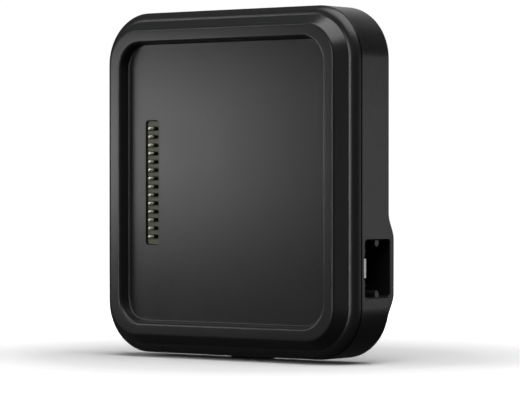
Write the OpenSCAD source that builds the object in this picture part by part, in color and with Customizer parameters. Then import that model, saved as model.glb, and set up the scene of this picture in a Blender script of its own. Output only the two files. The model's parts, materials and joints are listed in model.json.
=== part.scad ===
// Powered docking cradle. A hand-held device drops into the shallow recess in front,
// meets a column of sprung contacts, and is held by magnets behind the recess floor.
// A plug enters the socket low in the right side. Four brass inserts behind take bolts.
//
// Frame: X right, Z up, the front faces -Y. The origin is the centre of the rear bolt
// pattern, on the rear face. Each module draws in the plate's own plan: x right, y up
// and z out of the front, with z = 0 on the rear face. place() stands it up.

/* [Body] */
// Width of the body
body_w = 75.8; // [75:0.1:78]
// Height of the body
body_h = 82; // [81:0.1:84]
// Depth from the rear face to the front of the rim
body_d = 16.6; // [16.4:0.1:17.5]
// Radius of the body's corners, seen from the front
corner_r = 12.3; // [12:0.1:12.6]
// Rounding of the rear edge
rear_edge_r = 1; // [0.6:0.1:1.4]
// Thickness of the side walls
wall_t = 2.6; // [2.5:0.1:2.8]
// Thickness of the back wall
back_t = 2.4; // [2.2:0.1:2.6]

/* [Front housing] */
// Depth from the rim to the seam between the two housings
seam_depth = 5.13; // [5:0.01:5.2]
// Width of the groove that shows at the seam
seam_gap = 0.3; // [0.2:0.05:0.4]
// How far the shoulder in front of the seam leans in
shoulder_w = 2.3; // [2.2:0.05:2.4]
// Depth from the rim to the front of the shoulder
shoulder_depth = 3.25; // [3.15:0.05:3.35]
// Rounding of the shoulder
shoulder_r = 2.7; // [2.4:0.1:3.2]
// Distance from the body's outline to the outer edge of the rim
rim_inset = 4.3; // [4.2:0.05:4.4]
// Width of the rim
rim_w = 3.1; // [3:0.05:3.2]
// Rounding of the rim's outer edge
rim_edge_r = 0.5; // [0.3:0.05:0.6]
// Rounding of the rim's inner edge
recess_edge_r = 0.7; // [0.5:0.05:0.8]
// Depth of the recess
recess_d = 2.95; // [2.85:0.01:3.05]
// Radius of the recess's corners, seen from the front
recess_r = 6.1; // [5.8:0.1:6.4]
// How far the recess's walls lean in over their depth
recess_draft = 0.3; // [0.2:0.05:0.4]
// Fillet where the recess's walls meet its floor
recess_fillet = 0.5; // [0.4:0.05:0.7]

/* [Contacts] */
// Number of sprung contacts
contact_n = 14; // [2:1:14]
// Distance between neighbouring contacts
contact_pitch = 2; // [1.9:0.05:2.05]
// Place of the contact column, left of the middle
contact_x = -22.7; // [-23:0.1:-22.5]
// Width and height of the contact block's face
block_size = [3.8, 29.8];
// Gap between the contact block and the floor around it
block_gap = 0.1; // [0.05:0.05:0.2]
// How far the contact block's face lies below the floor
block_sink = 0.5; // [0.3:0.05:0.6]
// Width, height and depth of the window round each contact
window_size = [3, 1.02, 1.2];
// Radius of a contact's tip
tip_r = 0.4; // [0.35:0.01:0.42]
// How far a contact stands out of the recess floor
tip_out = 1.28; // [1:0.01:1.3]
// How far a contact can be pressed in
tip_travel = 1; // [0.6:0.1:1]

/* [Side socket] */
// Size of the socket's mouth from front to back, and up the side
mouth_size = [9.6, 13.1];
// Depth from the rim to the front edge of the mouth
mouth_depth = 6.8; // [6.7:0.05:6.9]
// Height of the middle of the mouth, from the body's middle
mouth_y = -19.85; // [-20.1:0.05:-19.7]
// Width of the two key ribs, and how far they stand into the mouth
key_size = 1.6; // [1.4:0.1:1.7]
// Height of the hump behind the socket
hump_t = 2; // [1.8:0.1:2.4]

/* [Rear mount] */
// Spacing of the four threaded inserts across, and up
bolt_spacing = [30, 38];
// Radius of the threaded bore in each insert
bolt_r = 1.65; // [1.6:0.01:1.7]

/* [Hidden] */

// Clearance between parts that are pressed or screwed together, and the overlap of a cut past a face
snug = 0.01;
past = 0.05;

// Heights above the rear face of the layers inside, from the front to the back
floor_z = body_d - recess_d;
seam_z = body_d - seam_depth;
shell_top_z = seam_z - seam_gap;
magnet_z = [10.2, 12.2];
yoke_z = [9.4, 10.2];
board_z = [7.4, 9];

// Seal in a groove along the shell's front edge, and the tongue that the shell closes round
seal_inset = [0.9, 1.9];
seal_z = 10.4;
tongue_inset = [2.75, 3.85];
tongue_z = 9.9;
core_inset = [4.1, 5.9];
core_z = 14.2;

// Case screws, one near each corner
case_screw_xy = [body_w / 2 - 7.4, body_h / 2 - 7.4];
case_screw_r = 1.25;
case_head_z = [0.4, 2];
case_head_r = 2.2;
case_boss_z = 9.2;
case_tip_z = 13.2;

// Contact block and its parts, from the front to the back
block_z = 10.05;
block_face_z = floor_z - block_sink;
flange_top_z = 11.05;
flange_size = [6.4, 33.2];
barrel_z = [board_z[1], block_face_z - window_size[2] - 0.03];
barrel_r = 0.65;
barrel_bore_r = 0.52;
barrel_lip_t = 0.25;
barrel_floor_t = 0.35;
collar_r = 0.5;
collar_t = 0.45;
tail_r = 0.35;
tail_z = 6.9;
coil_r = 0.38;
wire_r = 0.06;
// Room for a spring between the barrel's floor and the collar, and its number of turns
coil_room = barrel_z[1] - barrel_lip_t - collar_t - barrel_z[0] - barrel_floor_t;
coil_turns = 6;

// Magnets, the steel yoke behind them and its countersunk screws
magnet_x = [-13, 0, 13];
magnet_y = 25;
magnet_r = 6;
yoke_x = [-18.5, 19.3];
yoke_y = 31.5;
yoke_window = [-10, 12.5];
yoke_screw_xy = [[-14.3, 0], [7, 15.7], [7, -15.7]];
yoke_screw_r = 0.8;
yoke_head_r = 1.5;

// Circuit board, its posts and its screws
board_half = [29.5, 31.5];
board_chamfer = 4.5;
board_notch = [24.3, -11.4];
board_screw_xy = [[-25.5, 26.5], [25.5, 26.5], [-25.5, -26.5], [16, -7]];
board_post_r = 2.4;
board_screw_r = 1;

// Side socket, seen from the front: the mouth is in the body's right side
mouth_z = [body_d - mouth_depth - mouth_size[0], body_d - mouth_depth];
mouth_mid_z = (mouth_z[0] + mouth_z[1]) / 2;
mouth_r = 0.5;
duct_x = 25.8;
duct_t = 1.4;
socket_x = [24.6, 25.7, 29];
socket_flange = 1.2;
terminal_t = 0.64;
terminal_z = [3.6, 6.4];
terminal_leg_x = [20.6, 22.6];
terminal_tip_x = 33.3;
terminal_pitch = 2;
key_x = [29.3, body_w / 2 - 0.3];
strip_y = [-21.9, -17.4];
strip_x = [29.4, body_w / 2 - 0.6];
strip_z = [9.05, 9.35];
strip_root = 0.6;
hump_x = [22.5, 25.5];
hump_y = [-31.4, -25.8, -12.9, -7.5];

// Threaded inserts and the bosses that hold them
insert_r = 2.8;
insert_l = 6;
insert_boss_r = 4.5;
insert_boss_z = 7;

// Rubber foot under the body, and the blank label behind
foot_size = [12, 3.2];
foot_stem = [9, 1.8];
foot_out = 0.9;
foot_z = 3.4;
label_size = [22, 24];
label_recess = 0.3;
label_t = 0.2;

contact_y = [for (i = [1:contact_n]) ((contact_n + 1) / 2 - i) * contact_pitch];

// The stretch from half below the middle to half above it
function span(mid, half) = [mid - half, mid + half];

// The stretch behind the circuit board between two distances from its back
function behind_board(far, near) = [board_z[0] - far, board_z[0] - near];

function contact_name(stem, i) = str(stem, i < 10 ? "0" : "", i);

function arc(centre, r, from, to, steps) = [
    for (i = [0:steps])
        let (a = from + (to - from) * i / steps)
        centre + r * [cos(a), sin(a)]
];

// Stands the plate up: plan x and y become X and Z, and the front faces -Y
module place() {
    rotate([90, 0, 0]) children();
}

module at_corners(x, y) {
    for (sx = [-1, 1], sy = [-1, 1]) {
        translate([sx * x, sy * y, 0]) children();
    }
}

module at_case_screws() {
    at_corners(case_screw_xy[0], case_screw_xy[1]) children();
}

module at_inserts() {
    at_corners(bolt_spacing[0] / 2, bolt_spacing[1] / 2) children();
}

module tube(r, z) {
    translate([0, 0, z[0]]) cylinder(r = r, h = z[1] - z[0], $fn = 48);
}

module slab(size, z) {
    translate([-size[0] / 2, -size[1] / 2, z[0]]) cube([size[0], size[1], z[1] - z[0]]);
}

module block(x, y, z) {
    translate([x[0], y[0], z[0]]) cube([x[1] - x[0], y[1] - y[0], z[1] - z[0]]);
}

// Flat outline with round corners
module round_rect(w, h, r, steps = 12) {
    polygon([
        for (q = [0:3])
            let (sx = q == 0 || q == 3 ? 1 : -1, sy = q < 2 ? 1 : -1)
            each arc([sx * (w / 2 - r), sy * (h / 2 - r)], r, 90 * q, 90 * q + 90, steps)
    ]);
}

module round_slab(w, h, r, z, steps = 12) {
    translate([0, 0, z[0]]) linear_extrude(z[1] - z[0]) round_rect(w, h, r, steps);
}

// Carries a profile round a rectangle with round corners. The profile's x is measured
// outward from the corner's centre and its y becomes z.
module carry_round(w, h, r) {
    for (q = [0:3]) {
        long = q % 2 == 0 ? h - 2 * r : w - 2 * r;
        reach = q % 2 == 0 ? w / 2 - r : h / 2 - r;
        rotate([0, 0, 90 * q]) {
            translate([reach, long / 2, 0]) {
                rotate([90, 0, 0]) linear_extrude(long) children();
                rotate_extrude(angle = 90, $fn = 96) children();
            }
        }
    }
}

// Ring between two distances in from the body's outline
module outline_ring(inset, z) {
    carry_round(body_w, body_h, corner_r) {
        translate([corner_r - inset[1], z[0]]) square([inset[1] - inset[0], z[1] - z[0]]);
    }
}

// ---- Front housing: shoulder, sloping wall, rim, recess and floor, moulded in one ----

// Arc of radius r from one point to another, bulging to the right of the way there
function arc_between(from, to, r, steps) =
    let (
        half = asin(norm(to - from) / (2 * r)),
        out = atan2(to[1] - from[1], to[0] - from[0]) - 90,
        centre = (from + to) / 2 - r * cos(half) * [cos(out), sin(out)]
    )
    arc(centre, r, out - half, out + half, steps);

module front_profile() {
    slope = atan2(rim_inset - shoulder_w, shoulder_depth);
    rim_x = corner_r - rim_inset;
    polygon(concat(
        [[0, seam_z]],
        arc_between([corner_r, seam_z], [corner_r - shoulder_w, body_d - shoulder_depth], shoulder_r, 8),
        arc([rim_x - rim_edge_r * tan(45 - slope / 2), body_d - rim_edge_r], rim_edge_r, 90 - slope, 90, 4),
        [[0, body_d]]
    ));
}

module recess_profile() {
    low_x = recess_r - recess_draft;
    top_r = recess_edge_r;
    polygon(concat(
        [[0, floor_z]],
        arc([low_x - recess_fillet, floor_z + recess_fillet], recess_fillet, -90, -6, 6),
        [[recess_r - 0.05, body_d - top_r]],
        arc([recess_r + top_r, body_d - top_r], top_r, 180, 90, 5),
        [[recess_r + top_r, body_d + past], [0, body_d + past]]
    ));
}

module recess_cut() {
    inset = rim_inset + rim_w;
    w = body_w - 2 * inset;
    h = body_h - 2 * inset;
    carry_round(w, h, recess_r) recess_profile();
    slab([w - 2 * recess_r, h - 2 * recess_r], [floor_z, body_d + past]);
}

module front_housing() color("#3d3e41") place() difference() {
    union() {
        difference() {
            union() {
                carry_round(body_w, body_h, corner_r) front_profile();
                slab([body_w - 2 * corner_r, body_h - 2 * corner_r], [seam_z, body_d]);
            }
            recess_cut();
            outline_ring(core_inset, [seam_z - past, core_z]);
        }
        difference() {
            outline_ring(tongue_inset, [tongue_z, seam_z + past]);
            block([duct_x - 2, body_w / 2], span(mouth_y, 8.6), [tongue_z - past, seam_z]);
        }
        at_case_screws() tube(2.3, [case_boss_z + past, core_z + past]);
        for (p = board_screw_xy) {
            translate(p) tube(board_post_r, [board_z[1], seam_z + past]);
        }
        for (p = yoke_screw_xy) {
            translate(p) tube(2, [yoke_z[1], seam_z + past]);
        }
    }
    translate([contact_x, 0, 0]) {
        opening = block_size + 2 * block_gap * [1, 1];
        round_slab(opening[0], opening[1], 0.8, [seam_z - past, floor_z + past], 6);
    }
    for (x = magnet_x, s = [-1, 1]) {
        translate([x, s * magnet_y]) tube(magnet_r + snug, [seam_z - past, magnet_z[1]]);
    }
    at_case_screws() tube(case_screw_r + snug, [case_boss_z, case_tip_z + 0.3]);
    for (p = board_screw_xy) {
        translate(p) tube(board_screw_r + snug, [board_z[1] - past, 12]);
    }
    for (p = yoke_screw_xy) {
        translate(p) tube(yoke_screw_r + snug, [yoke_z[1] - past, 12.5]);
    }
}

// ---- Rear shell: back, side walls, hump, socket duct and bosses ----

module shell_profile() {
    polygon(concat(
        [[0, 0]],
        arc([corner_r - rear_edge_r, rear_edge_r], rear_edge_r, -90, 0, 6),
        [[corner_r, shell_top_z], [0, shell_top_z]]
    ));
}

module hump() {
    right = body_w / 2;
    intersection() {
        translate([hump_x[0], 0, 0]) rotate([90, 0, 90]) {
            linear_extrude(right - hump_x[0]) polygon([
                [hump_y[0], back_t], [hump_y[0], 0], [hump_y[1], -hump_t],
                [hump_y[2], -hump_t], [hump_y[3], 0], [hump_y[3], back_t]
            ]);
        }
        translate([0, hump_y[3], 0]) rotate([90, 0, 0]) {
            linear_extrude(hump_y[3] - hump_y[0]) polygon(concat(
                [[hump_x[0], back_t], [hump_x[0], 0], [hump_x[1], -hump_t]],
                arc([right - rear_edge_r, rear_edge_r - hump_t], rear_edge_r, -90, 0, 6),
                [[right, back_t]]
            ));
        }
        round_slab(body_w, body_h, corner_r, [-hump_t - past, back_t + past], 24);
    }
}

module duct_cut() {
    translate([duct_x - duct_t, mouth_y, mouth_mid_z]) rotate([90, 0, 90]) {
        linear_extrude(body_w / 2 - duct_x + 2) round_rect(mouth_size[1], mouth_size[0], mouth_r, 6);
    }
    pocket = span(mouth_y, mouth_size[1] / 2 + socket_flange + 0.1);
    block([duct_x - duct_t, duct_x], pocket, [mouth_z[0], shell_top_z + past]);
}

module key_ribs() {
    for (s = [-1, 1]) {
        rib_y = mouth_y + s * (mouth_size[1] / 2 - key_size / 2);
        translate([key_x[0], rib_y, mouth_mid_z]) {
            rotate([0, 90, 0]) cylinder(d = key_size, h = key_x[1] - key_x[0], $fn = 32);
            translate([0, s > 0 ? 0 : -key_size, -key_size / 2]) {
                cube([key_x[1] - key_x[0], key_size, key_size]);
            }
        }
    }
}

module rear_shell() color("#3a3b3e") place() {
    difference() {
        union() {
            difference() {
                union() {
                    carry_round(body_w, body_h, corner_r) shell_profile();
                    slab([body_w - 2 * corner_r, body_h - 2 * corner_r], [0, shell_top_z]);
                }
                round_slab(body_w - 2 * wall_t, body_h - 2 * wall_t, corner_r - wall_t, [back_t, body_d]);
            }
            hump();
            duct_y = span(mouth_y, mouth_size[1] / 2 + duct_t);
            block([duct_x - duct_t, body_w / 2 - 1], duct_y, [0, shell_top_z]);
            at_inserts() tube(insert_boss_r, [back_t - past, insert_boss_z]);
            at_case_screws() tube(3.2, [back_t - past, case_boss_z]);
        }
        duct_cut();
        outline_ring(seal_inset, [seal_z, shell_top_z + past]);
        at_inserts() tube(insert_r + snug, [-past, insert_l + 0.3]);
        at_case_screws() {
            tube(case_head_r + 0.4, [-past, case_head_z[1]]);
            tube(case_screw_r + 0.2, [0, case_boss_z + past]);
        }
        root_z = [mouth_z[1] - past, mouth_z[1] + strip_root + 0.05];
        block([strip_x[0], strip_x[0] + 0.9], strip_y + [-0.1, 0.1], root_z);
        block([body_w / 2 - 0.5, body_w / 2 + past], strip_y + [-0.3, 0.3], root_z);
        foot_slot_z = span(foot_z, foot_stem[1] / 2 + snug);
        block(span(0, foot_stem[0] / 2 + snug), [-body_h / 2 - 1, 3 - body_h / 2], foot_slot_z);
        slab(label_size + [0.4, 0.4], [-past, label_recess]);
    }
    key_ribs();
}

module perimeter_seal() color("#161616") place() {
    outline_ring(seal_inset + snug * [1, -1], [seal_z, seam_z]);
}

// ---- Contacts: block, gasket, barrels, plungers and their springs ----

module at_contacts() {
    for (y = contact_y) {
        translate([contact_x, y, 0]) children();
    }
}

module contact_block() color("#33342f") place() difference() {
    union() {
        translate([contact_x, 0, 0]) {
            round_slab(block_size[0], block_size[1], 0.7, [block_z, block_face_z], 6);
            slab(flange_size, [block_z, flange_top_z]);
        }
    }
    at_contacts() {
        slab([window_size[0], window_size[1]], [block_face_z - window_size[2], block_face_z + past]);
        tube(barrel_r + snug, [block_z - past, block_face_z - window_size[2] + past]);
    }
}

module contact_gasket() color("#161616") place() translate([contact_x, 0, 0]) difference() {
    slab(flange_size, [flange_top_z, seam_z]);
    slab(block_size + [0.7, 0.7], [flange_top_z - past, seam_z + past]);
}

module contact_barrels() color("#c9a548") place() at_contacts() difference() {
    union() {
        tube(barrel_r, barrel_z);
        tube(tail_r, [tail_z, barrel_z[0] + past]);
    }
    tube(barrel_bore_r, [barrel_z[0] + barrel_floor_t, barrel_z[1] - barrel_lip_t]);
    tube(tip_r + 0.03, [barrel_z[1] - barrel_lip_t - past, barrel_z[1] + past]);
}

module contact_pin(i) color("#d8b65a") place() translate([contact_x, contact_y[i - 1], 0]) {
    top = floor_z + tip_out;
    shoulder = barrel_z[1] - barrel_lip_t;
    rotate_extrude($fn = 48) polygon(concat(
        [[0, shoulder - collar_t], [collar_r, shoulder - collar_t], [collar_r, shoulder], [tip_r, shoulder]],
        arc([0, top - tip_r], tip_r, 0, 90, 8)
    ));
}

function coil_points(h, steps, sides) = [
    for (i = [0:coil_turns * steps], k = [0:sides - 1])
        let (a = 360 * i / steps, c = 360 * (k + 0.5) / sides, r = coil_r + wire_r * cos(c))
        [r * cos(a), r * sin(a), wire_r + (h - 2 * wire_r) * i / (coil_turns * steps) + wire_r * sin(c)]
];

function coil_faces(rings, sides) = concat(
    [[for (k = [0:sides - 1]) k]],
    [[for (k = [sides - 1:-1:0]) (rings - 1) * sides + k]],
    [for (i = [0:rings - 2], k = [0:sides - 1])
        [i * sides + k, (i + 1) * sides + k, (i + 1) * sides + (k + 1) % sides, i * sides + (k + 1) % sides]]
);

module contact_spring(i) color("silver") place() translate([contact_x, contact_y[i - 1], 0]) {
    steps = 8;
    sides = 4;
    translate([0, 0, barrel_z[0] + barrel_floor_t + snug]) {
        polyhedron(
            coil_points(coil_room - 2 * snug, steps, sides),
            coil_faces(coil_turns * steps + 1, sides)
        );
    }
}

// ---- Magnets and yoke ----

module holding_magnets() color("silver") place() {
    for (x = magnet_x, s = [-1, 1]) {
        translate([x, s * magnet_y, 0]) tube(magnet_r, magnet_z);
    }
}

module magnet_yoke() color("#8f9499") place() difference() {
    block(yoke_x, [-yoke_y, yoke_y], yoke_z);
    block([yoke_window[0], yoke_x[1] + 1], span(0, yoke_window[1]), yoke_z + [-1, 1]);
    for (p = yoke_screw_xy) {
        translate([p[0], p[1], yoke_z[0]]) {
            cylinder(r1 = yoke_head_r + snug, r2 = yoke_screw_r + snug, h = yoke_z[1] - yoke_z[0], $fn = 48);
        }
    }
}

module yoke_screws() color("#b9bcc0") place() for (p = yoke_screw_xy) {
    translate(p) {
        translate([0, 0, yoke_z[0]]) {
            cylinder(r1 = yoke_head_r, r2 = yoke_screw_r, h = yoke_z[1] - yoke_z[0], $fn = 48);
        }
        tube(yoke_screw_r, [yoke_z[1] - past, 12.3]);
    }
}

// ---- Circuit board and what is soldered to it ----

module circuit_board() color("#1f5a37") place() difference() {
    translate([0, 0, board_z[0]]) linear_extrude(board_z[1] - board_z[0]) polygon([
        [board_half[0] - board_chamfer, board_half[1]], [board_half[0], board_half[1] - board_chamfer],
        [board_half[0], board_notch[1]], board_notch, [board_notch[0], -board_half[1]],
        [board_chamfer - board_half[0], -board_half[1]], [-board_half[0], board_chamfer - board_half[1]],
        [-board_half[0], board_half[1] - board_chamfer], [board_chamfer - board_half[0], board_half[1]]
    ]);
    through = board_z + past * [-1, 1];
    for (p = board_screw_xy) {
        translate(p) tube(board_screw_r + 0.1, through);
    }
    at_contacts() tube(tail_r + 0.05, through);
    at_terminals() {
        translate([terminal_leg_x[$row], 0, 0]) tube(0.5, through);
    }
}

module board_screws() color("#b9bcc0") place() for (p = board_screw_xy) {
    translate(p) difference() {
        union() {
            tube(1.9, [board_z[0] - 1.2, board_z[0]]);
            tube(board_screw_r, [board_z[0] - past, 11.8]);
        }
        translate([0, 0, board_z[0] - 1.25]) cylinder(r = 0.8, h = 0.8, $fn = 6);
    }
}

module interface_chip() color("#202124") place() translate([-5, 4, 0]) {
    slab([9, 9], behind_board(1.4, 0.1));
    for (turn = [0:3], i = [0:8]) {
        rotate([0, 0, 90 * turn]) translate([4.9, (i - 4) * 0.9, 0]) slab([1.4, 0.35], behind_board(0.5, 0));
    }
}

module regulator_chip() color("#202124") place() translate([8, -6, 0]) {
    slab([4.4, 5], behind_board(1.6, 0.1));
    for (s = [-1, 1], i = [0:3]) {
        translate([s * 2.5, (i - 1.5) * 1.27, 0]) slab([1.2, 0.45], behind_board(0.6, 0));
    }
}

module power_inductor() color("#4a4b4e") place() translate([7, 4.5, 0]) {
    round_slab(7, 7, 1, behind_board(3.6, 0), 6);
}

module filter_capacitors() color("#9a9da1") place() for (i = [0:3]) {
    translate([-16, 7.5 - 5 * i, 0]) {
        slab([4.3, 4.3], behind_board(0.6, 0));
        tube(2, behind_board(3.9, 0.6));
    }
}

module surge_diodes() color("#202124") place() for (i = [0:2]) {
    translate([20.5, 1 - 4 * i, 0]) slab([4.2, 2.4], behind_board(2.1, 0));
}

// ---- Side socket: insulator, terminals and the latch strip ----

module at_terminals() {
    for ($row = [0, 1], i = [-2:2]) {
        translate([0, mouth_y + i * terminal_pitch, 0]) children();
    }
}

module terminal_bar(x, extra = 0) {
    half = terminal_t / 2 + extra;
    block(x, span(0, half), span(terminal_z[$row], half));
}

module side_socket() color("#19191b") place() difference() {
    union() {
        block([socket_x[0], socket_x[1]], span(mouth_y, mouth_size[1] / 2 + socket_flange),
            [mouth_z[0] + 0.1, mouth_z[1] + 0.9]);
        translate([socket_x[1] - past, mouth_y, mouth_mid_z]) rotate([90, 0, 90]) {
            linear_extrude(socket_x[2] - socket_x[1] + past) {
                round_rect(mouth_size[1] - 0.2, mouth_size[0] - 0.2, mouth_r, 6);
            }
        }
    }
    at_terminals() terminal_bar([socket_x[0] - 1, socket_x[2] + 1], snug);
}

module socket_terminals() color("#c9a548") place() at_terminals() {
    leg = terminal_leg_x[$row] - terminal_t / 2;
    terminal_bar([leg, terminal_tip_x]);
    block([leg, leg + terminal_t], span(0, terminal_t / 2), [terminal_z[$row], board_z[1] + 0.4]);
}

module latch_strip() color("silver") place() {
    block(strip_x, strip_y, strip_z);
    block([strip_x[0], strip_x[0] + 0.8], strip_y, [strip_z[0], mouth_z[1] + strip_root]);
}

// ---- Fasteners, foot and label ----

module threaded_inserts() color("#b98d3e") place() at_inserts() difference() {
    tube(insert_r, [0, insert_l]);
    tube(bolt_r, [-past, insert_l + past]);
    difference() {
        tube(insert_r + 1, [2.6, 3.4]);
        tube(insert_r - 0.4, [2.5, 3.5]);
    }
}

module case_screws() color("#55585c") place() at_case_screws() difference() {
    union() {
        tube(case_head_r, case_head_z);
        tube(case_screw_r, [case_head_z[1] - past, case_tip_z]);
    }
    translate([0, 0, case_head_z[0] - past]) cylinder(r = 1, h = 1.1, $fn = 6);
}

module bottom_foot() color("#151515") place() translate([0, -body_h / 2, foot_z]) rotate([-90, 0, 0]) {
    translate([0, 0, -foot_out]) linear_extrude(foot_out) round_rect(foot_size[0], foot_size[1], 1.2, 6);
    slab(foot_stem, [-past, wall_t]);
    slab(foot_stem + [1.4, 0], [wall_t, wall_t + 0.8]);
}

module rating_label() color("#1c1c1d") place() {
    round_slab(label_size[0], label_size[1], 1, [label_recess - label_t, label_recess], 6);
}

front_housing();
rear_shell();
perimeter_seal();
contact_block();
contact_gasket();
contact_barrels();
for (i = [1:contact_n]) contact_pin(i);
for (i = [1:contact_n]) contact_spring(i);
holding_magnets();
magnet_yoke();
yoke_screws();
circuit_board();
board_screws();
interface_chip();
regulator_chip();
power_inductor();
filter_capacitors();
surge_diodes();
side_socket();
socket_terminals();
latch_strip();
threaded_inserts();
case_screws();
bottom_foot();
rating_label();
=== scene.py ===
import json
import math
import bmesh
import bpy
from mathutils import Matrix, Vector


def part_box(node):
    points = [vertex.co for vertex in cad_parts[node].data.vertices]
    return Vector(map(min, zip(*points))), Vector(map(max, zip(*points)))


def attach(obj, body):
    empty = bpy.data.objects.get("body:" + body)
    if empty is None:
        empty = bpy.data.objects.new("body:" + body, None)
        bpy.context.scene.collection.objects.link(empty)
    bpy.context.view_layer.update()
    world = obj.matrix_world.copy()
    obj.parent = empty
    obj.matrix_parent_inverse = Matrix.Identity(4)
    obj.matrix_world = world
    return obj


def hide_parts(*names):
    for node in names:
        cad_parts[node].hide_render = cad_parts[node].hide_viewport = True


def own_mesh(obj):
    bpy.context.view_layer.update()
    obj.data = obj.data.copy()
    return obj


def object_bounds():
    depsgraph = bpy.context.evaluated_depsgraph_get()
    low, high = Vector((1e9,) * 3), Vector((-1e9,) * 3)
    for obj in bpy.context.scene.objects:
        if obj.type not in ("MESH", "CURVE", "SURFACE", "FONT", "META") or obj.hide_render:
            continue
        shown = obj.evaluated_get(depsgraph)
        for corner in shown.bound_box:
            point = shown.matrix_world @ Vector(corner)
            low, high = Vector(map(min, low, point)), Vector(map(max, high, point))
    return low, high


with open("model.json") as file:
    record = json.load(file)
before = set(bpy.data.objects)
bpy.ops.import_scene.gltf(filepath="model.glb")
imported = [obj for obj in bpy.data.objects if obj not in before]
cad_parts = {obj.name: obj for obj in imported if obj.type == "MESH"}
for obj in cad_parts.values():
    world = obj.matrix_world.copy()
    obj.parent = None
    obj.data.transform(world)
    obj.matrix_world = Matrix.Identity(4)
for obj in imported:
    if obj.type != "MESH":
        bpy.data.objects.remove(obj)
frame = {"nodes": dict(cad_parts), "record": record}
cad_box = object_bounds()
scene = bpy.context.scene

# ---- Front housing ------------------------------------------------------------------
# The black face of the cradle: a rounded shoulder, a sloping wall, a flat rim and a shallow
# recess, injection moulded in one piece of filled plastic with a fine spark-eroded texture.
# Behind the floor are pockets for magnets, posts for screws, and a tongue that locates it.
MM = 0.001  # the pieces' lengths below are in millimetres
front_low, front_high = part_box("front_housing")
half_w = front_high.x / MM
half_h = front_high.z / MM
rim_out = -front_low.y / MM
mounts = {mount["name"]: Vector(mount["pos_m"]) / MM for mount in frame["record"]["mounts"]}
floor_out = -mounts["device_seat"].y
seam_out = 11.47
core_out = 14.2
corner_r = 12.3
recess_corner = 13.5
opening_middle = (-22.7, 0)


def plan(x, up, out):
    """A point of the frame, from millimetres across, up, and out from the plate's back."""
    return Vector((x, -out, up)) * MM


def around(centre, r, turn):
    """A point on a circle, at an angle in degrees."""
    angle = math.radians(turn)
    return (centre[0] + r * math.cos(angle), centre[1] + r * math.sin(angle))


def arc(centre, r, start, end, steps):
    """Points along an arc, with its angles in degrees."""
    return [around(centre, r, start + (end - start) * i / steps) for i in range(steps + 1)]


def rounded(section, steps=5):
    """A section given as (inset, out, r) with each of its corners rounded by its own r."""
    points = []
    for i, (inset, out, r) in enumerate(section):
        here = Vector((inset, out))
        if r == 0:
            points.append(here)
            continue
        before = (Vector(section[i - 1][:2]) - here).normalized()
        after = (Vector(section[i + 1][:2]) - here).normalized()
        half = before.angle(after) / 2
        centre = here + (before + after).normalized() * (r / math.sin(half))
        start = (here + before * (r / math.tan(half)) - centre).normalized()
        end = (here + after * (r / math.tan(half)) - centre).normalized()
        for k in range(steps + 1):
            points.append(centre + start.slerp(end, k / steps).normalized() * r)
    return points


def round_rectangle(across, up, corner, middle=(0, 0), steps=18):
    """Outline of a rectangle with round corners, from half its width and height."""
    points = []
    for turn, (side, top) in enumerate(((1, 1), (-1, 1), (-1, -1), (1, -1))):
        centre = (middle[0] + side * (across - corner), middle[1] + top * (up - corner))
        points += arc(centre, corner, 90 * turn, 90 * turn + 90, steps)
    return points


def level_ring(mesh, outline, out):
    """Puts an outline into the mesh at one distance out."""
    return [mesh.verts.new(plan(x, up, out)) for x, up in outline]


def skin(mesh, rings):
    """Joins each ring of points to the next one with four-sided faces."""
    for near, far in zip(rings, rings[1:]):
        for i in range(len(near)):
            following = (i + 1) % len(near)
            mesh.faces.new((near[i], near[following], far[following], far[i]))


def closed_skin(mesh, rings):
    """Joins the rings and closes the first and the last, so that they bound a solid."""
    skin(mesh, rings)
    mesh.faces.new(rings[0])
    mesh.faces.new(rings[-1])


def fill_flat(mesh, *rings):
    """Fills the flat area between closed rings, such as a floor with an opening in it."""
    edges = []
    for points in rings:
        for i in range(len(points)):
            pair = (points[i], points[(i + 1) % len(points)])
            edges.append(mesh.edges.get(pair) or mesh.edges.new(pair))
    bmesh.ops.triangle_fill(mesh, use_beauty=True, edges=edges)


def make_piece(name, mesh):
    """Closes off the mesh being built and puts it in the scene as an object."""
    bmesh.ops.recalc_face_normals(mesh, faces=mesh.faces)
    data = bpy.data.meshes.new(name)
    mesh.to_mesh(data)
    mesh.free()
    piece = bpy.data.objects.new(name, data)
    scene.collection.objects.link(piece)
    return piece


def turn_round(mesh, middle, outline, sides=40):
    """Turns an outline of (radius, out) pairs round a line that runs out of the plate."""
    rings = []
    for r, out in outline:
        circle = arc(middle, r, 0, 360 * (sides - 1) / sides, sides - 1)
        rings.append(level_ring(mesh, circle, out) if r else [mesh.verts.new(plan(*middle, out))])
    for near, far in zip(rings, rings[1:]):
        for i in range(sides):
            following = (i + 1) % sides
            corners = [near[i % len(near)], near[following % len(near)]]
            corners += [far[following % len(far)], far[i % len(far)]]
            mesh.faces.new(list(dict.fromkeys(corners)))
    for end in (rings[0], rings[-1]):
        if len(end) > 1:
            mesh.faces.new(end)


def peg(mesh, middle, r, low, high):
    """A round peg, or a round hole when it is cut away, from low to high."""
    turn_round(mesh, middle, [(r, low), (r, high)])


def block(mesh, x, up, out):
    """A box, from a pair of limits in each direction."""
    outline = [(x[0], up[0]), (x[1], up[0]), (x[1], up[1]), (x[0], up[1])]
    rings = [level_ring(mesh, outline, out[0]), level_ring(mesh, outline, out[1])]
    closed_skin(mesh, rings)


def carve(piece, mesh, how):
    """Joins the solids in the mesh to the piece, or cuts them away from it."""
    tool = make_piece("tool", mesh)
    change = piece.modifiers.new("carve", "BOOLEAN")
    change.operation = how
    change.solver = "MANIFOLD"
    change.object = tool
    seen = piece.evaluated_get(bpy.context.evaluated_depsgraph_get())
    shaped = bpy.data.meshes.new_from_object(seen)
    piece.modifiers.clear()
    piece.data = shaped
    bpy.data.objects.remove(tool)


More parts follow.
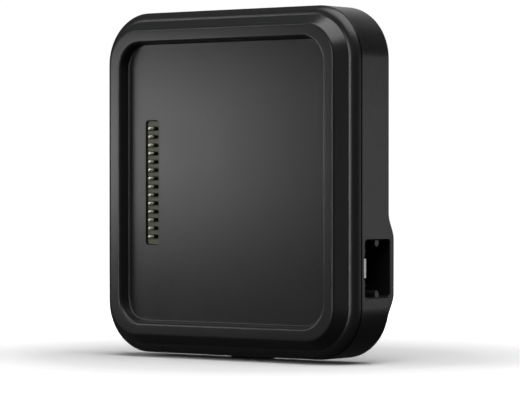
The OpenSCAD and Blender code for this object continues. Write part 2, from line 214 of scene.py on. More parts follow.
def smooth(piece, crease=33):
    """Smooth shading that keeps flat faces flat and real corners sharp."""
    piece.data.name = piece.name
    piece.data.shade_smooth()
    piece.data.set_sharp_from_angle(angle=math.radians(crease))
    weighting = piece.modifiers.new("flat faces stay flat", "WEIGHTED_NORMAL")
    weighting.keep_sharp = True


def four(x, up):
    """The same place in each quarter of the plate."""
    return [(x, up), (-x, up), (-x, -up), (x, -up)]


# The shoulder is an arc from the foot of the sloping wall to the seam.
shoulder_r = 2.7
slope_foot_out = 13.35
shoulder_start = Vector((10.0, slope_foot_out))
shoulder_end = Vector((corner_r, seam_out))
chord = shoulder_end - shoulder_start
half_turn = math.degrees(math.asin(chord.length / (2 * shoulder_r)))
facing = math.degrees(math.atan2(chord.y, chord.x)) + 90
bulge = Vector((math.cos(math.radians(facing)), math.sin(math.radians(facing))))
chord_to_centre = shoulder_r * math.cos(math.radians(half_turn))
shoulder_centre = (shoulder_start + shoulder_end) / 2 - chord_to_centre * bulge
shoulder = arc(shoulder_centre, shoulder_r, facing + half_turn, facing - half_turn, 9)

recess_section = rounded([
    (8.9, floor_out, 0), (7.7, floor_out, 0.3), (7.4, rim_out, 0.7), (5.6, rim_out, 0),
], 6)
outer_section = [(5.4, rim_out, 0), (4.3, rim_out, 0.8), (2.3, slope_foot_out, 0.25)]
outer_section += [(corner_r - x, out, 0) for x, out in shoulder[1:-1]]
outer_section += [(0, seam_out, 0.12), (2.75, seam_out, 0), (2.75, 9.9, 0.15), (3.85, 9.9, 0.15)]
outer_section += [(3.85, seam_out, 0), (4.1, seam_out, 0), (4.1, core_out, 0), (5.9, core_out, 0)]
outer_section += [(5.9, seam_out, 0)]
outer_section = rounded(outer_section, 5)

mesh = bmesh.new()
rings = []
for inset, out in recess_section:
    outline = round_rectangle(half_w - inset, half_h - inset, recess_corner - inset)
    rings.append(level_ring(mesh, outline, out))
for inset, out in outer_section:
    outline = round_rectangle(half_w - inset, half_h - inset, corner_r - inset)
    rings.append(level_ring(mesh, outline, out))
skin(mesh, rings)
opening_rings = []
for grow, out in ((0.08, floor_out), (0.02, floor_out - 0.03), (0, floor_out - 0.09), (0, seam_out)):
    outline = round_rectangle(2 + grow, 15 + grow, 0.8, opening_middle, 6)
    opening_rings.append(level_ring(mesh, outline, out))
skin(mesh, opening_rings)
fill_flat(mesh, rings[0], opening_rings[0])
fill_flat(mesh, rings[-1], opening_rings[-1])
front_housing = make_piece("cradle_front", mesh)

# Posts for the case screws, the board and the yoke stand behind the floor.
screw_places = four(30.5, 33.6)
board_posts = [(-25.5, 26.5), (25.5, 26.5), (-25.5, -26.5), (16, -7)]
yoke_posts = [(-14.3, 0), (7, 15.7), (7, -15.7)]
mesh = bmesh.new()
for middle in screw_places:
    peg(mesh, middle, 2.3, 9.25, core_out + 0.05)
for middle in board_posts:
    peg(mesh, middle, 2.4, 9, seam_out + 0.05)
for middle in yoke_posts:
    peg(mesh, middle, 2, 10.2, seam_out + 0.05)
carve(front_housing, mesh, "UNION")

# Cut away: the magnets' pockets, the screw holes, and the tongue beside the socket's duct.
magnet_places = [(x, up) for x in (-13, 0, 13) for up in (-25, 25)]
mesh = bmesh.new()
for middle in magnet_places:
    peg(mesh, middle, 6.01, 9, 12.2)
for middle in screw_places:
    peg(mesh, middle, 1.26, 9, 13.5)
for middle in board_posts:
    peg(mesh, middle, 1.01, 8.5, 12)
for middle in yoke_posts:
    peg(mesh, middle, 0.81, 9.5, 12.5)
block(mesh, (33, half_w - 2.5), (-28.45, -11.25), (9.5, seam_out - 0.001))
carve(front_housing, mesh, "DIFFERENCE")
smooth(front_housing)


def wire(tree, kind, sockets, **settings):
    """Adds a shader node, then links its sockets or sets them."""
    made = tree.nodes.new(kind)
    for key, value in settings.items():
        setattr(made, key, value)
    for key, value in sockets.items():
        if isinstance(value, bpy.types.NodeSocket):
            tree.links.new(value, made.inputs[key])
        else:
            made.inputs[key].default_value = value
    return made


def start_finish(name, metallic=0.0):
    """A new material, its node tree, its shader and the place on the piece in metres."""
    finish = bpy.data.materials.new(name)
    finish.use_nodes = True
    tree = finish.node_tree
    shader = tree.nodes["Principled BSDF"]
    shader.inputs["Metallic"].default_value = metallic
    here = wire(tree, "ShaderNodeTexCoord", {}).outputs["Object"]
    return finish, tree, shader, here


def cloud(tree, here, size, detail=3.0, rough=0.55):
    """Noise whose features are about size millimetres across."""
    values = {"Vector": here, "Scale": 1 / (size * MM), "Detail": detail, "Roughness": rough}
    return wire(tree, "ShaderNodeTexNoise", values).outputs["Fac"]


def spread(tree, value, low, high, start=0.3, end=0.7):
    """Maps the stretch from start to end onto the stretch from low to high."""
    values = {"Value": value, "From Min": start, "From Max": end, "To Min": low, "To Max": high}
    return wire(tree, "ShaderNodeMapRange", values).outputs["Result"]


def sums(tree, how, first, second):
    """Joins two values by a sum of the kind named."""
    return wire(tree, "ShaderNodeMath", {0: first, 1: second}, operation=how).outputs[0]


def between(tree, amount, first, second):
    """Colour part of the way from the first to the second."""
    made = tree.nodes.new("ShaderNodeMix")
    made.data_type = "RGBA"
    for index, value in ((0, amount), (6, first), (7, second)):
        if isinstance(value, bpy.types.NodeSocket):
            tree.links.new(value, made.inputs[index])
        else:
            made.inputs[index].default_value = value
    return made.outputs[2]


def rubbed_edges(tree, reach):
    """1 on outside edges, which hands and plugs polish, and 0 on open faces."""
    inside = wire(tree, "ShaderNodeAmbientOcclusion", {"Distance": reach * MM},
                  inside=True, only_local=True, samples=4)
    return spread(tree, inside.outputs["AO"], 0, 1, 0.45, 0.95)


def relief(tree, shader, height, depth):
    """Fine unevenness of the surface, to a depth in millimetres."""
    values = {"Height": height, "Distance": depth * MM, "Strength": 1.0}
    made = wire(tree, "ShaderNodeBump", values)
    tree.links.new(made.outputs["Normal"], shader.inputs["Normal"])


def shade(value, tint=(1, 1, 1)):
    """A grey of this value, tinted."""
    return (value * tint[0], value * tint[1], value * tint[2], 1)


def moulded_plastic(name, tone, tint, roughness, grain_size, grain_depth):
    """Dark moulded plastic: fine texture, slight cloudiness, edges polished by handling."""
    finish, tree, shader, here = start_finish(name)
    clouds = cloud(tree, here, 14)
    grain = cloud(tree, here, grain_size, 4, 0.65)
    cells = {"Vector": here, "Scale": 0.55 / (grain_size * MM), "Randomness": 1.0}
    pits = wire(tree, "ShaderNodeTexVoronoi", cells).outputs["Distance"]
    edges = rubbed_edges(tree, 0.7)
    base = between(tree, clouds, shade(tone * 0.85, tint), shade(tone * 1.15, tint))
    worn = between(tree, sums(tree, "MULTIPLY", edges, 0.35), base, shade(tone * 2.2, tint))
    tree.links.new(worn, shader.inputs["Base Color"])
    dull = spread(tree, clouds, roughness - 0.012, roughness + 0.012)
    dull = sums(tree, "ADD", dull, spread(tree, grain, -0.03, 0.03))
    dull = sums(tree, "SUBTRACT", dull, sums(tree, "MULTIPLY", edges, 0.05))
    tree.links.new(dull, shader.inputs["Roughness"])
    relief(tree, shader, sums(tree, "ADD", grain, sums(tree, "MULTIPLY", pits, 0.5)), grain_depth)
    return finish


def give(piece, finish):
    """Puts a finish on a piece, or on a CAD node that is shown as it is."""
    piece.data.materials.clear()
    piece.data.materials.append(finish)


def fasten(piece, body, finish, slot, *nodes):
    """Finishes a piece, fixes it to its body and hides the CAD nodes it stands for."""
    give(piece, finish)
    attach(piece, body)
    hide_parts(*nodes)


front_plastic = moulded_plastic("black plastic, textured", 0.014, (0.98, 1, 1.02), 0.35, 0.16, 0.01)
fasten(front_housing, "cradle", front_plastic, "front_plastic", "front_housing")

# ---- Rear shell ---------------------------------------------------------------------
# The tray that closes the back: side walls, back, a hump that makes room for the plug, the
# duct of the side socket with its two key ribs, and bosses for the inserts and case screws.
# It is moulded in the same plastic, slightly smoother, in a tool that closes at the seam.
shell_out = seam_out - 0.3
hump_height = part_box("rear_shell")[1].y / MM
hump_low = -31.4
hump_high = -7.2
hump_left = 22.6
low_ramp = 5.6
high_ramp = 6.0
left_ramp = 3
least_rise = 0.01
insert_places = four(15, 19)
shell_section = rounded([
    (5, 0, 0), (0, 0, 1), (0, shell_out, 0.12), (0.9, shell_out, 0), (0.9, 10.4, 0),
    (1.9, 10.4, 0), (1.9, shell_out, 0), (2.6, shell_out, 0), (2.6, 2.4, 0.3), (5, 2.4, 0),
], 7)
mesh = bmesh.new()
rings = []
for inset, out in shell_section:
    outline = round_rectangle(half_w - inset, half_h - inset, corner_r - inset)
    rings.append(level_ring(mesh, outline, out))
closed_skin(mesh, rings)
rear_shell = make_piece("cradle_back", mesh)

side_points = [point for point in round_rectangle(half_w, half_h, corner_r) if point[0] > 25]
side_points.sort(key=lambda point: point[1])


def side_x(up):
    """Where the right side's outline is at a height."""
    for low, high in zip(side_points, side_points[1:]):
        if low[1] <= up <= high[1]:
            share = (up - low[1]) / max(high[1] - low[1], 1e-9)
            return low[0] + (high[0] - low[0]) * share
    return half_w


def hump_rise(up):
    """Height of the hump, with a soft ramp at each end."""
    ramp = min((up - hump_low) / low_ramp, (hump_high - up) / high_ramp, 1)
    return least_rise + (hump_height - least_rise) * (0.5 - 0.5 * math.cos(math.pi * max(ramp, 0)))


levels = [hump_low + low_ramp * i / 10 for i in range(11)]
levels += [hump_high - high_ramp * i / 10 for i in range(11)]
levels += [up for x, up in side_points if hump_low < up < hump_low + low_ramp]
mesh = bmesh.new()
hump_rings = []
for up in sorted(set(levels)):
    rise = hump_rise(up)
    right = side_x(up)
    section = [(right - 1.6, 2.2), (hump_left, 2.2)]
    section += [(hump_left + left_ramp * i / 6, -rise * (0.5 - 0.5 * math.cos(math.pi * i / 6)))
                for i in range(7)]
    section += arc((right - 1, 1 - rise), 1, -90, 0, 8)
    section += [(right, 1.02), (right - 0.3, 1.4)]
    hump_rings.append([mesh.verts.new(plan(x, up, out)) for x, out in section])
closed_skin(mesh, hump_rings)
carve(rear_shell, mesh, "UNION")

mouth_middle = (mounts["side_socket_mouth"].z, -mounts["side_socket_mouth"].y)
mouth_half_up = 6.55
mouth_half_out = 4.8
duct_start = 24.4

# The duct's walls, and the bosses for the inserts and the case screws.
mesh = bmesh.new()
duct_up = (mouth_middle[0] - 7.95, mouth_middle[0] + 7.95)
block(mesh, (duct_start, half_w - 1), duct_up, (0.5, shell_out))
for middle in insert_places:
    peg(mesh, middle, 4.5, 2.3, 7)
for middle in screw_places:
    peg(mesh, middle, 3.2, 2.3, 9.2)
carve(rear_shell, mesh, "UNION")


def mouth_ring(mesh, x, grow, corner):
    """Round-cornered ring across the socket's duct, at a distance from the middle."""
    outline = round_rectangle(mouth_half_up + grow, mouth_half_out + grow, corner, mouth_middle, 6)
    return [mesh.verts.new(plan(x, up, out)) for up, out in outline]


# The duct's opening, with its lip rounded.
mesh = bmesh.new()
lip_r = 0.35
lip = [(duct_start, 0)]
lip += [(half_w - lip_r + lip_r * math.sin(a), lip_r - lip_r * math.cos(a)) for a in (0, 0.4, 0.8, 1.2, 1.5)]
lip += [(half_w + 1, lip_r)]
mouth_rings = [mouth_ring(mesh, x, grow, 0.6 + grow) for x, grow in lip]
closed_skin(mesh, mouth_rings)
carve(rear_shell, mesh, "DIFFERENCE")

# The two key ribs, half round towards the middle of the duct and tapered at the mouth.
mesh = bmesh.new()
rib_r = 0.8
for side in (-1, 1):
    middle_up = mouth_middle[0] + side * (mouth_half_up - rib_r)
    root = middle_up + side * 1.6
    outline = arc((middle_up, mouth_middle[1]), rib_r, 90 * side, 90 * side + 180, 10)
    outline += [(root, mouth_middle[1] - side * rib_r), (root, mouth_middle[1] + side * rib_r)]
    rib_rings = []
    for x, shrink in ((29.3, 1), (37.42, 1), (37.55, 0.97), (37.6, 0.9)):
        rib_ring = []
        for up, out in outline:
            near_up = root + (up - root) * shrink
            near_out = mouth_middle[1] + (out - mouth_middle[1]) * shrink
            rib_ring.append(mesh.verts.new(plan(x, near_up, near_out)))
        rib_rings.append(rib_ring)
    closed_skin(mesh, rib_rings)
carve(rear_shell, mesh, "UNION")

# Cut away: the insulator's pocket, the strip's two slots, the insert and screw holes, the
# slot for the foot's stem and the recess for the label.
mesh = bmesh.new()
socket_pocket = (mouth_middle[0] - 7.85, mouth_middle[0] + 7.85)
block(mesh, (24.3, 25.8), socket_pocket, (0.2, shell_out + 0.05))
block(mesh, (29.4, 30.3), (-22, -17.3), (9.75, 10.45))
block(mesh, (37.4, half_w + 0.05), (-22.2, -17.1), (9.75, 10.45))
for middle in insert_places:
    turn_round(mesh, middle, [(3.0, -0.05), (2.81, 0.15), (2.81, 6.3)])
for middle in screw_places:
    turn_round(mesh, middle, [(2.75, -0.05), (2.6, 0.1), (2.6, 2), (1.45, 2), (1.45, 9.3)])
block(mesh, (-4.51, 4.51), (-half_h - 1, 3 - half_h), (2.49, 4.31))
label_outline = round_rectangle(11.2, 12.2, 1.2, steps=6)
closed_skin(mesh, [level_ring(mesh, label_outline, out) for out in (-0.05, 0.3)])
carve(rear_shell, mesh, "DIFFERENCE")
smooth(rear_shell)
shell_plastic = moulded_plastic("black plastic, satin", 0.013, (0.98, 1, 1.02), 0.34, 0.13, 0.007)
fasten(rear_shell, "cradle", shell_plastic, "shell_plastic", "rear_shell")

# ---- Perimeter seal and contact gasket ----------------------------------------------
# A soft rubber cord, pressed into the groove along the shell's front edge, and a flat gasket
# under the contact block's flange. Both are squeezed when the case screws are tightened.
rubber, tree, shader, here = start_finish("black rubber")
dust = cloud(tree, here, 2.5, 5)
tree.links.new(between(tree, dust, shade(0.006), shade(0.016)), shader.inputs["Base Color"])
tree.links.new(spread(tree, dust, 0.65, 0.85), shader.inputs["Roughness"])
relief(tree, shader, cloud(tree, here, 0.3, 4), 0.012)
for node in ("perimeter_seal", "contact_gasket"):
    give(frame["nodes"][node], rubber)

# ---- Contact block ------------------------------------------------------------------
# An insert of dark olive-grey nylon, held behind the floor by its flange and sunk half a
# millimetre below it. It has a small window round each contact, open at one side of it.
block_low, block_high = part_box("contact_block")
block_back = -block_high.y / MM
block_face = -block_low.y / MM
contact_x = opening_middle[0]
contact_pitch = 2
contact_heights = [(7.5 - i) * contact_pitch for i in range(1, 15)]
barrel_hole_r = 0.66
flange_out = 11.05
edge = 0.12
mesh = bmesh.new()
block_section = [(3.2, 16.6, 0.3, block_back), (3.2, 16.6, 0.3, flange_out), (1.9, 14.9, 0.7, flange_out)]
block_section += [(1.9 - edge + edge * math.cos(a), 14.9 - edge + edge * math.cos(a), 0.7,
                   block_face - edge + edge * math.sin(a)) for a in (0, 0.4, 0.8, 1.2, 1.5708)]
rings = []
for across, up, corner, out in block_section:
    rings.append(level_ring(mesh, round_rectangle(across, up, corner, opening_middle, 6), out))
closed_skin(mesh, rings)
contact_block = make_piece("contact_block_moulding", mesh)
mesh = bmesh.new()
for up in contact_heights:
    outlines = []
    for grow, out in ((0, block_face - 1.2), (0, block_face - 0.08), (0.07, block_face + 0.05)):
        outline = round_rectangle(1.5 + grow, 0.51 + grow, 0.15, (contact_x, up), 4)
        outlines.append(level_ring(mesh, outline, out))
    closed_skin(mesh, outlines)
carve(contact_block, mesh, "DIFFERENCE")
mesh = bmesh.new()
for up in contact_heights:
    peg(mesh, (contact_x, up), barrel_hole_r, block_back - 0.1, block_face - 1.1)
carve(contact_block, mesh, "DIFFERENCE")
smooth(contact_block)
block_plastic = moulded_plastic("olive grey nylon", 0.075, (0.92, 1.0, 0.5), 0.52, 0.22, 0.008)
fasten(contact_block, "cradle", block_plastic, "block_plastic", "contact_block")

# ---- Sprung contacts ----------------------------------------------------------------
# Fourteen brass plungers in pressed barrels, turned with a round tip and a collar, then
# plated with nickel and gold. Each one slides in its barrel against a steel coil spring.
gold, tree, shader, here = start_finish("gold plated tips", 0.35)
turning = wire(tree, "ShaderNodeTexWave", {"Vector": here, "Scale": 9000.0, "Distortion": 2.0},
               bands_direction="Y").outputs["Fac"]
wear = cloud(tree, here, 0.5, 5)
depth_back = wire(tree, "ShaderNodeSeparateXYZ", {0: here}).outputs["Y"]
# Painted shade: below the floor's level the shaft fades to nearly black, standing in for the shadow in the
# window round each pin.
shaft_shade_below_floor = spread(tree, depth_back, 0, 1, -(floor_out + 0.15) * MM, -(floor_out - 0.35) * MM)
plated = between(tree, wear, (0.90, 0.88, 0.68, 1), (0.99, 0.98, 0.82, 1))
tree.links.new(between(tree, shaft_shade_below_floor, plated, (0.03, 0.028, 0.02, 1)), shader.inputs["Base Color"])
tree.links.new(spread(tree, wear, 0.36, 0.5), shader.inputs["Roughness"])
relief(tree, shader, turning, 0.002)
shaft_r = 0.4
collar_r = 0.5
for i, up in enumerate(contact_heights, start=1):
    pin_node = f"contact_pin_{i:02d}"
    tip_out = -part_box(pin_node)[0].y / MM
    collar_out = -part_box(pin_node)[1].y / MM
    collar = [(0, collar_out), (shaft_r, collar_out), (collar_r, collar_out + 0.1)]
    collar += [(collar_r, collar_out + 0.35), (shaft_r, collar_out + 0.45)]
    tip = [(shaft_r * math.cos(math.radians(a)), tip_out - shaft_r + shaft_r * math.sin(math.radians(a)))
           for a in range(0, 90, 10)]
    mesh = bmesh.new()
    turn_round(mesh, (contact_x, up), collar + tip + [(0, tip_out)], 32)
    plunger = make_piece(f"contact_plunger_{i:02d}", mesh)
    smooth(plunger, 40)
    fasten(plunger, f"plunger_{i:02d}", gold, "contact_gold", pin_node)

spring_steel, tree, shader, here = start_finish("spring steel", 1.0)
drawn = cloud(tree, here, 0.1, 4)
tree.links.new(between(tree, drawn, shade(0.45), shade(0.62)), shader.inputs["Base Color"])
tree.links.new(spread(tree, drawn, 0.25, 0.4), shader.inputs["Roughness"])
relief(tree, shader, drawn, 0.002)
wire_r = 0.06
coil_r = 0.38
turns = 6
steps_in_turn = 16
wire_sides = 8
for i, up in enumerate(contact_heights, start=1):
    spring_node = f"contact_spring_{i:02d}"
    spring_low, spring_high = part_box(spring_node)
    spring_foot = -spring_high.y / MM
    spring_length = (spring_high.y - spring_low.y) / MM
    mesh = bmesh.new()
    wire_rings = []
    for step in range(turns * steps_in_turn + 1):
        turn = 2 * math.pi * step / steps_in_turn
        out = spring_foot + wire_r + (spring_length - 2 * wire_r) * step / (turns * steps_in_turn)
        ring_points = []
        for k in range(wire_sides):
            round_wire = 2 * math.pi * k / wire_sides
            r = coil_r + wire_r * math.cos(round_wire)
            point = plan(contact_x + r * math.cos(turn), up + r * math.sin(turn),
                         out + wire_r * math.sin(round_wire))
            ring_points.append(mesh.verts.new(point))
        wire_rings.append(ring_points)
    closed_skin(mesh, wire_rings)
    coil = make_piece(f"contact_coil_{i:02d}", mesh)
    coil.data.shade_smooth()
    fasten(coil, "cradle", spring_steel, "spring_steel", spring_node)
    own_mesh(coil)


# ---- Magnets and yoke ---------------------------------------------------------------
# Six nickel-plated disc magnets, pressed into pockets behind the floor, and the zinc-plated
# steel yoke that closes their field. Three countersunk screws hold the yoke to its posts.
def plated_metal(name, low, high, tint, roughness, speck, depth):
    """Plated metal with cloudy colour, uneven gloss and a fine surface."""
    finish, tree, shader, here = start_finish(name, 1.0)
    clouds = cloud(tree, here, 6, 4)
    fine = cloud(tree, here, speck, 5, 0.7)
    tree.links.new(between(tree, clouds, shade(low, tint), shade(high, tint)),
                   shader.inputs["Base Color"])
    dull = spread(tree, sums(tree, "ADD", clouds, fine), roughness - 0.07, roughness + 0.08, 0.7, 1.3)
    tree.links.new(dull, shader.inputs["Roughness"])
    relief(tree, shader, fine, depth)
    return finish


def soften_edges(node, width, finish):
    """Breaks the sharp edges of a CAD node that is shown as it is, and finishes it."""
    part = frame["nodes"][node]
    broken = part.modifiers.new("broken edges", "BEVEL")
    broken.width = width * MM
    broken.segments = 2
    broken.limit_method = "ANGLE"
    broken.angle_limit = math.radians(50)
    give(part, finish)


nickel = plated_metal("nickel plating", 0.5, 0.62, (1, 0.98, 0.94), 0.28, 0.3, 0.003)
zinc = plated_metal("zinc plated steel", 0.38, 0.52, (0.97, 1, 1.03), 0.38, 0.4, 0.006)
screw_steel = plated_metal("screw steel", 0.4, 0.52, (1, 1, 1), 0.32, 0.2, 0.003)
soften_edges("holding_magnets", 0.15, nickel)
soften_edges("magnet_yoke", 0.08, zinc)
soften_edges("yoke_screws", 0.04, screw_steel)

# ---- Circuit board and its components -----------------------------------------------
# A 1.6 mm glass-fibre board with green solder resist over copper, screwed to four posts. It
# carries a chip, a regulator, an inductor, four can capacitors and three surge diodes.
solder_resist, tree, shader, here = start_finish("green solder resist")
flat = wire(tree, "ShaderNodeMapping", {"Vector": here, "Rotation": (math.pi / 2, 0, 0)}).outputs[0]
tracks = wire(tree, "ShaderNodeTexBrick", {
    "Vector": flat, "Scale": 260.0, "Mortar Size": 0.05, "Brick Width": 1.6, "Row Height": 0.28,
    "Color1": shade(0.0), "Color2": shade(0.0), "Mortar": shade(1.0)}).outputs["Color"]
weave = cloud(tree, here, 0.6, 3)
board_base = between(tree, weave, (0.010, 0.075, 0.032, 1), (0.014, 0.095, 0.04, 1))
tree.links.new(between(tree, tracks, board_base, (0.03, 0.16, 0.07, 1)), shader.inputs["Base Color"])
tree.links.new(spread(tree, weave, 0.3, 0.42), shader.inputs["Roughness"])
relief(tree, shader, tracks, 0.02)
give(frame["nodes"]["circuit_board"], solder_resist)
soften_edges("board_screws", 0.06, screw_steel)
epoxy = moulded_plastic("black moulded epoxy", 0.012, (1, 1, 1), 0.5, 0.08, 0.006)
ferrite = moulded_plastic("grey ferrite", 0.06, (1, 1, 1.02), 0.6, 0.25, 0.02)
can = plated_metal("drawn aluminium can", 0.55, 0.68, (1, 1, 1), 0.3, 0.25, 0.004)
soften_edges("interface_chip", 0.08, epoxy)
soften_edges("regulator_chip", 0.08, epoxy)
soften_edges("surge_diodes", 0.15, epoxy)
soften_edges("power_inductor", 0.25, ferrite)
soften_edges("filter_capacitors", 0.15, can)

# ---- Side socket --------------------------------------------------------------------
# A black nylon insulator closes the inner end of the duct in the shell, and ten square
# gold-plated terminals run through it, out into the duct and down to the circuit board.
insulator_nylon = moulded_plastic("black nylon", 0.01, (1, 1, 1), 0.45, 0.2, 0.006)
soften_edges("side_socket", 0.1, insulator_nylon)
dull_brass = plated_metal("dull brass", 0.1, 0.16, (1.1, 0.9, 0.6), 0.45, 0.2, 0.004)
soften_edges("socket_terminals", 0.07, dull_brass)
give(frame["nodes"]["contact_barrels"], dull_brass)

# ---- Latch strip --------------------------------------------------------------------
# A strip of bright stainless spring steel along the front wall of the duct. Its inner end is
# bent into a slot in the shell, and its free end turns up into the notch at the mouth.
strip_low, strip_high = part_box("latch_strip")
half_thick = 0.15
root_bend_r = 0.3
tip_bend_r = 0.27
strip_face = -strip_high.y / MM + half_thick
strip_root = -strip_low.y / MM
strip_start = strip_low.x / MM + half_thick
strip_end = strip_high.x / MM
path = [(strip_start, strip_root)]
path += arc((strip_start + root_bend_r, strip_face + root_bend_r), root_bend_r, 180, 270, 6)
path += arc((strip_end, strip_face + tip_bend_r), tip_bend_r, 270, 360, 6)
path += [(strip_end + tip_bend_r, strip_face + 1.1)]
mesh = bmesh.new()
strip_rings = []
for i, (x, out) in enumerate(path):
    before = Vector(path[max(i - 1, 0)])
    after = Vector(path[min(i + 1, len(path) - 1)])
    along = (after - before).normalized()
    aside = Vector((-along.y, along.x)) * half_thick
    points = []
    for up, thick in ((strip_low.z / MM, 1), (strip_high.z / MM, 1), (strip_high.z / MM, -1),
                      (strip_low.z / MM, -1)):
        points.append(mesh.verts.new(plan(x + aside.x * thick, up, out + aside.y * thick)))
    strip_rings.append(points)
closed_skin(mesh, strip_rings)
latch_strip = make_piece("socket_latch_spring", mesh)
edge_break = latch_strip.modifiers.new("tumbled edges", "BEVEL")
edge_break.width = 0.04 * MM
edge_break.segments = 2
edge_break.limit_method = "ANGLE"
edge_break.angle_limit = math.radians(50)
smooth(latch_strip, 50)
stainless, tree, shader, here = start_finish("stainless strip", 1.0)
stretched = wire(tree, "ShaderNodeMapping", {"Vector": here, "Scale": (0.08, 1.0, 1.0)}).outputs[0]
rolled = cloud(tree, stretched, 0.15, 5, 0.65)
tree.links.new(between(tree, rolled, shade(0.6), shade(0.72)), shader.inputs["Base Color"])
tree.links.new(spread(tree, rolled, 0.28, 0.42), shader.inputs["Roughness"])
relief(tree, shader, rolled, 0.003)
fasten(latch_strip, "cradle", stainless, "strip_steel", "latch_strip")

# ---- Threaded inserts ---------------------------------------------------------------
# Four turned brass inserts, heat-set flush into bosses in the back: two knurled bands with
# a groove between them, a chamfered mouth, and a thread for the mounting bolts.
insert_length = 6
knurl_r = 2.8
knurl_depth = 0.12
groove_r = 2.4
thread_pitch = 0.7
thread_r = 1.65
thread_depth = 0.22
insert_sides = 48
thread_levels = 48
step_angle = 360 / insert_sides
outside = [(1.95, 0), (2.7, 0), (knurl_r, 0.12), (knurl_r, 0.5), (knurl_r, 2.5), (groove_r, 2.6)]
outside += [(groove_r, 3.4), (knurl_r, 3.5), (knurl_r, 5.5), (2.6, 5.9)]
outside += [(2.5, insert_length), (1.9, insert_length)]
mesh = bmesh.new()
for middle in insert_places:
    insert_rings = []
    for r, out in outside:
        circle = []
        for k in range(insert_sides):
            cut = knurl_depth if r == knurl_r and out > 0.2 and k % 2 else 0
            circle.append(around(middle, r - cut, step_angle * k))
        insert_rings.append(level_ring(mesh, circle, out))
    for step in range(thread_levels):
        out = insert_length - 0.2 - (insert_length - 0.5) * step / (thread_levels - 1)
        circle = []
        for k in range(insert_sides):
            turn = (out / thread_pitch - k / insert_sides) % 1
            r = thread_r + thread_depth * abs(2 * turn - 1)
            circle.append(around(middle, r, step_angle * k))
        insert_rings.append(level_ring(mesh, circle, out))
    skin(mesh, insert_rings + insert_rings[:1])
inserts = make_piece("brass_inserts", mesh)
smooth(inserts, 25)
brass = plated_metal("turned brass", 0.5, 0.62, (1.1, 0.86, 0.5), 0.3, 0.15, 0.004)
fasten(inserts, "cradle", brass, "insert_brass", "threaded_inserts")

# ---- Case screws --------------------------------------------------------------------
# Four blackened steel screws with low round heads and a hexagon socket. They sit in
# counterbores in the back and cut their own thread in the posts of the front housing.
head_low = 0.4
head_edge_r = 0.4
screw_thread_pitch = 0.9
screw_tip = -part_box("case_screws")[0].y / MM
outline = [(0, head_low), (1.8, head_low)]
outline += [(1.8 + head_edge_r * math.sin(a), head_low + head_edge_r - head_edge_r * math.cos(a))
            for a in (0.4, 0.8, 1.2, 1.57)]
outline += [(2.2, 2.0), (1.2, 2.0)]
for k in range(int((screw_tip - 3) / screw_thread_pitch)):
    start = 2.6 + screw_thread_pitch * k
    outline += [(1.0, start), (1.25, start + 0.42), (1.25, start + 0.48), (1.0, start + 0.85)]
outline += [(0.7, screw_tip - 0.1), (0, screw_tip)]
mesh = bmesh.new()
for middle in screw_places:
    turn_round(mesh, middle, outline, 36)
case_screws = make_piece("back_screws", mesh)
mesh = bmesh.new()
for middle in screw_places:
    turn_round(mesh, middle, [(1.12, head_low - 0.05), (1.0, head_low + 0.1), (1.0, head_low + 1.0),
                              (0, head_low + 1.25)], 6)
carve(case_screws, mesh, "DIFFERENCE")
smooth(case_screws, 35)
blackened = plated_metal("blackened screw steel", 0.09, 0.14, (1, 1, 1.04), 0.38, 0.2, 0.004)
fasten(case_screws, "cradle", blackened, "case_screw_steel", "case_screws")

# ---- Rubber foot --------------------------------------------------------------------
# A small moulded rubber foot under the body. Its stem is pushed through a slot in the bottom
# wall, and a wider lip behind the wall keeps it there.
foot_low, foot_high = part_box("bottom_foot")
foot_middle = -(foot_low.y + foot_high.y) / 2 / MM
foot_sole = foot_low.z / MM
wall_face = -half_h
mesh = bmesh.new()
# Half width, half depth, corner radius and height of each ring.
foot_section = [(5.55, 0.55, 0.5, foot_sole), (5.8, 1.4, 0.9, foot_sole + 0.05),
                (5.95, 1.54, 1.1, foot_sole + 0.2), (6.0, 1.6, 1.2, foot_sole + 0.4),
                (6.0, 1.6, 1.2, wall_face), (4.5, 0.9, 0.2, wall_face),
                (4.5, 0.9, 0.2, wall_face + 2.6), (5.2, 0.9, 0.2, wall_face + 2.6),
                (5.2, 0.9, 0.2, wall_face + 3.15), (4.8, 0.7, 0.2, wall_face + 3.4)]
foot_rings = []
for across, deep, corner, up in foot_section:
    outline = round_rectangle(across, deep, min(corner, deep), (0, foot_middle), 6)
    foot_rings.append([mesh.verts.new(plan(x, up, out)) for x, out in outline])
closed_skin(mesh, foot_rings)
foot = make_piece("rubber_foot", mesh)
smooth(foot, 40)
fasten(foot, "cradle", rubber, "foot_rubber", "bottom_foot")

# ---- Blank label --------------------------------------------------------------------
# A die-cut label of matt polycarbonate film in a shallow recess in the back. It is blank:
# its printing is left out.
label_low, label_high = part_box("rating_label")
film_back = -label_low.y / MM
film_face = -label_high.y / MM
mesh = bmesh.new()
film_rings = []
for shrink, out in ((0, film_back), (0, film_face + 0.05), (0.03, film_face + 0.015), (0.08, film_face)):
    outline = round_rectangle(11 - shrink, 12 - shrink, 1 - shrink, steps=8)
    film_rings.append(level_ring(mesh, outline, out))
closed_skin(mesh, film_rings)
label = make_piece("blank_label", mesh)
smooth(label)
film, tree, shader, here = start_finish("matt label film")
specks = cloud(tree, here, 0.25, 4, 0.7)
tree.links.new(between(tree, cloud(tree, here, 8), shade(0.03), shade(0.04)), shader.inputs["Base Color"])
tree.links.new(spread(tree, specks, 0.5, 0.62), shader.inputs["Roughness"])
relief(tree, shader, specks, 0.004)
fasten(label, "cradle", film, "label_film", "rating_label")

# ---- Table, backdrop and lights -----------------------------------------------------
# A plain pale table that fades into a white backdrop. Two softboxes at the front left, a strip
# in front, a wide one at the right and a large one overhead give soft reflections, and a weak
# one behind shows the back.
table_top = cad_box[0][2]
# The stage's own sizes are in metres.
table_half = 3
wall_distance = 2.8


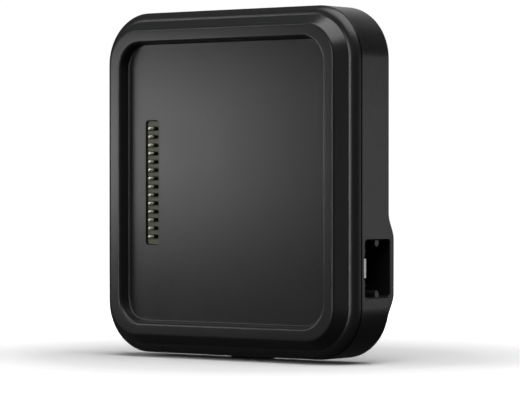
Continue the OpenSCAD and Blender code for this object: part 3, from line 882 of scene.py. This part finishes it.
def stage_sheet(name, faces, finish):
    """A sheet of the stage, in metres, which the camera sees but the reflections don't."""
    mesh = bmesh.new()
    for corners in faces:
        mesh.faces.new([mesh.verts.new(corner) for corner in corners])
    sheet = make_piece(name, mesh)
    give(sheet, finish)
    sheet.visible_diffuse = False
    sheet.visible_glossy = False
    sheet.visible_transmission = False
    return sheet


paper, tree, shader, here = start_finish("pale table top")
fibres = cloud(tree, here, 2, 4)
tree.links.new(between(tree, fibres, shade(0.94), shade(0.97)), shader.inputs["Base Color"])
shader.inputs["Roughness"].default_value = 0.9
shader.inputs["Specular IOR Level"].default_value = 0.0
reach = wire(tree, "ShaderNodeVectorMath", {0: here}, operation="LENGTH").outputs["Value"]
shader.inputs["Emission Color"].default_value = (1, 1, 1, 1)
tree.links.new(spread(tree, reach, 0.0, 1.0, 0.05, 0.2), shader.inputs["Emission Strength"])
table_corners = [(x, y, 0) for x, y in four(-table_half, -table_half)]
table_sheet = stage_sheet("table", [table_corners], paper)
table_sheet.location = (0, 0, table_top - 0.00005)

white, tree, shader, here = start_finish("white backdrop")
shader.inputs["Emission Color"].default_value = (1, 1, 1, 1)
shader.inputs["Emission Strength"].default_value = 1.0
tree.links.new(spread(tree, cloud(tree, here, 300), 0.98, 1.0), shader.inputs["Roughness"])
walls = []
corners = four(wall_distance, wall_distance)
for (x, y), (next_x, next_y) in zip(corners, corners[1:] + corners[:1]):
    walls.append([(x, y, -1), (next_x, next_y, -1), (next_x, next_y, 4), (x, y, 4)])
stage_sheet("backdrop", walls, white)


def softbox(name, azimuth, distance, height, width, tall, strength, aim=(0, 0, 0)):
    """A soft light at an azimuth from the front, aimed at a point. Lengths in millimetres."""
    data = bpy.data.lights.new(name, "AREA")
    data.shape = "RECTANGLE"
    data.size = width * MM
    data.size_y = tall * MM
    data.energy = strength * math.pi * data.size * data.size_y
    light = bpy.data.objects.new(name, data)
    turn = math.radians(azimuth)
    light.location = Vector((math.sin(turn) * distance, -math.cos(turn) * distance, height)) * MM
    sight = Vector(aim) * MM - light.location
    light.rotation_euler = sight.to_track_quat("-Z", "Y").to_euler()
    light.visible_camera = False
    scene.collection.objects.link(light)


softbox("front left softbox", -50, 210, 12, 120, 50, 3.9, (-34, -14, 6))
softbox("raised front left softbox", -43, 360, 190, 90, 60, 5.5, (-10, -14, 10))
softbox("front strip", -3, 400, 15, 60, 180, 9.5)
softbox("back right softbox", 115, 340, -4, 385, 115, 0.95)
softbox("overhead softbox", 60, 130, 420, 500, 500, 3.0)
softbox("rear softbox", 195, 520, 220, 420, 300, 0.6)

room = bpy.data.worlds.new("dim room")
room.use_nodes = True
room.node_tree.nodes["Background"].inputs["Color"].default_value = (1, 1, 1, 1)
room.node_tree.nodes["Background"].inputs["Strength"].default_value = 0.025
scene.world = room

# ---- Camera -------------------------------------------------------------------------
# A long lens, almost level with the middle of the cradle and well round to its right side,
# so that the front and the side with the socket both show.
view_azimuth = math.radians(37.934)
camera_distance = 672.69
camera_shift = 9.876
camera_drop = 0.156
toward_camera = Vector((math.sin(view_azimuth), -math.cos(view_azimuth), 0))
across_view = Vector((math.cos(view_azimuth), math.sin(view_azimuth), 0))
rim_middle = plan(0, 0, rim_out)
lens = bpy.data.cameras.new("camera")
lens.sensor_width = 36
lens.lens = 198.01
lens.clip_start = 0.01
lens.clip_end = 20
camera = bpy.data.objects.new("camera", lens)
scene.collection.objects.link(camera)
camera.location = rim_middle + (camera_distance * toward_camera + camera_shift * across_view) * MM
camera.location.z -= camera_drop * MM
look_down = math.radians(0.4947)
sight = -toward_camera * math.cos(look_down) - Vector((0, 0, math.sin(look_down)))
camera.rotation_euler = sight.to_track_quat("-Z", "Y").to_euler()
scene.camera = camera
scene.view_settings.view_transform = "Standard"
